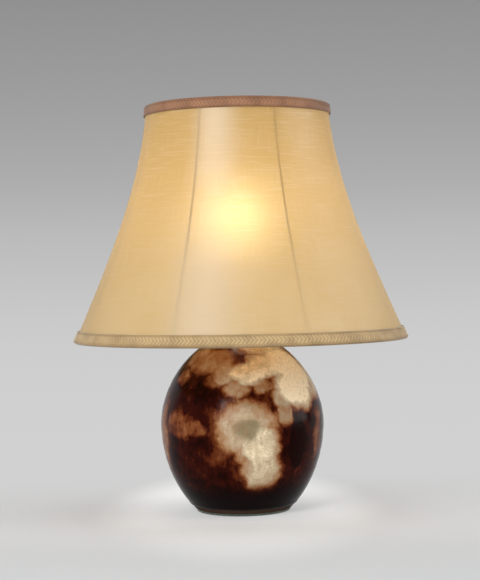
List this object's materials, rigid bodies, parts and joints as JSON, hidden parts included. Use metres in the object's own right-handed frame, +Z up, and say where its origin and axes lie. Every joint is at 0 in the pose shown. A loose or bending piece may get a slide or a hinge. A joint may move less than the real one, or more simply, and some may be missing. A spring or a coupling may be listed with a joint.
{
  "type": "table lamp",
  "caption": "Table lamp with a rounded glazed ceramic body, a socket with a turn knob, a bulb, and a bell shade of linen that hangs from a harp.",
  "frame": {"origin": "on the lamp's vertical axis, at the underside of the felt pad", "axes": "+Z up along the lamp's axis, -Y towards the front with the switch knob, +X to the right, the harp lies in the XZ plane"},
  "size_m": [0.4096, 0.4096, 0.4971],
  "materials": {
    "glaze": "dark red-brown reactive glaze with cream and tan patches, glossy",
    "linen": "beige slub linen, lit from inside",
    "braid": "tan woven binding tape",
    "antique_brass": "antique brass, satin",
    "frame_wire": "pale brass-plated wire",
    "steel": "zinc-plated",
    "aluminium": "bright",
    "cardboard": "dark pressed fibre",
    "phenolic": "dark brown moulded plastic",
    "rubber": "black, matt",
    "felt": "green felt",
    "bulb_glass": "frosted, lit",
    "stem_glass": "clear",
    "solder": "solder, satin",
    "tungsten": "glowing wire"
  },
  "bodies": {
    "lamp_base": {"felt_pad": "felt", "ceramic_body": "glaze", "cord_grommet": "rubber", "foot_pan": "steel", "lamp_pipe": "steel", "bottom_washer": "steel", "bottom_nut": "steel", "vase_cap": "antique_brass", "neck_spacer": "antique_brass", "harp_saddle": "antique_brass", "saddle_nut": "steel", "socket_cap": "antique_brass", "cap_set_screw": "steel", "socket_shell": "antique_brass", "socket_liner": "cardboard", "socket_insulator": "phenolic", "terminal_screw_neutral": "antique_brass", "terminal_screw_hot": "antique_brass", "contact_tab": "antique_brass", "screw_shell": "aluminium", "harp_wire": "antique_brass"},
    "switch": {"switch_stem": "steel", "switch_knob": "phenolic"},
    "bulb": {"bulb_glass": "bulb_glass", "bulb_screw_base": "aluminium", "bulb_insulator": "phenolic", "bulb_tip_contact": "solder", "bulb_stem": "stem_glass", "bulb_filament": "tungsten"},
    "left_ferrule": {"harp_ferrule_left": "antique_brass"},
    "right_ferrule": {"harp_ferrule_right": "antique_brass"},
    "swivel_stud": {"harp_stud": "antique_brass"},
    "shade": {"shade_skin": "linen", "shade_top_ring": "frame_wire", "shade_bottom_ring": "frame_wire", "shade_rib_1": "frame_wire", "shade_rib_2": "frame_wire", "shade_rib_3": "frame_wire", "shade_rib_4": "frame_wire", "shade_rib_5": "frame_wire", "shade_rib_6": "frame_wire", "shade_rib_7": "frame_wire", "shade_rib_8": "frame_wire", "shade_spider": "frame_wire", "shade_top_trim": "braid", "shade_bottom_trim": "braid"},
    "finial": {"finial_base": "antique_brass", "finial_knob": "antique_brass"}
  },
  "joints": [
    {"name": "switch_turn", "type": "hinge", "parent": "lamp_base", "child": "switch", "pos_m": [0, -0.0207, 0.27], "axis": [0, -1, 0], "continuous": true},
    {"name": "bulb_unscrew", "type": "hinge", "parent": "lamp_base", "child": "bulb", "pos_m": [0, 0, 0.2821], "axis": [0, 0, 1], "range_deg": [0, 1260]},
    {"name": "left_ferrule_lift", "type": "slide", "parent": "lamp_base", "child": "left_ferrule", "axis": [0, 0, 1], "range_m": [0, 0.014]},
    {"name": "right_ferrule_lift", "type": "slide", "parent": "lamp_base", "child": "right_ferrule", "axis": [0, 0, 1], "range_m": [0, 0.014]},
    {"name": "shade_swivel", "type": "hinge", "parent": "lamp_base", "child": "swivel_stud", "pos_m": [0, 0, 0.469], "axis": [0, 0, 1], "continuous": true},
    {"name": "shade_lift", "type": "slide", "parent": "swivel_stud", "child": "shade", "axis": [0, 0, 1], "range_m": [0, 0.28]},
    {"name": "finial_turn", "type": "hinge", "parent": "shade", "child": "finial", "pos_m": [0, 0, 0.4728], "axis": [0, 0, 1], "continuous": true}
  ]
}
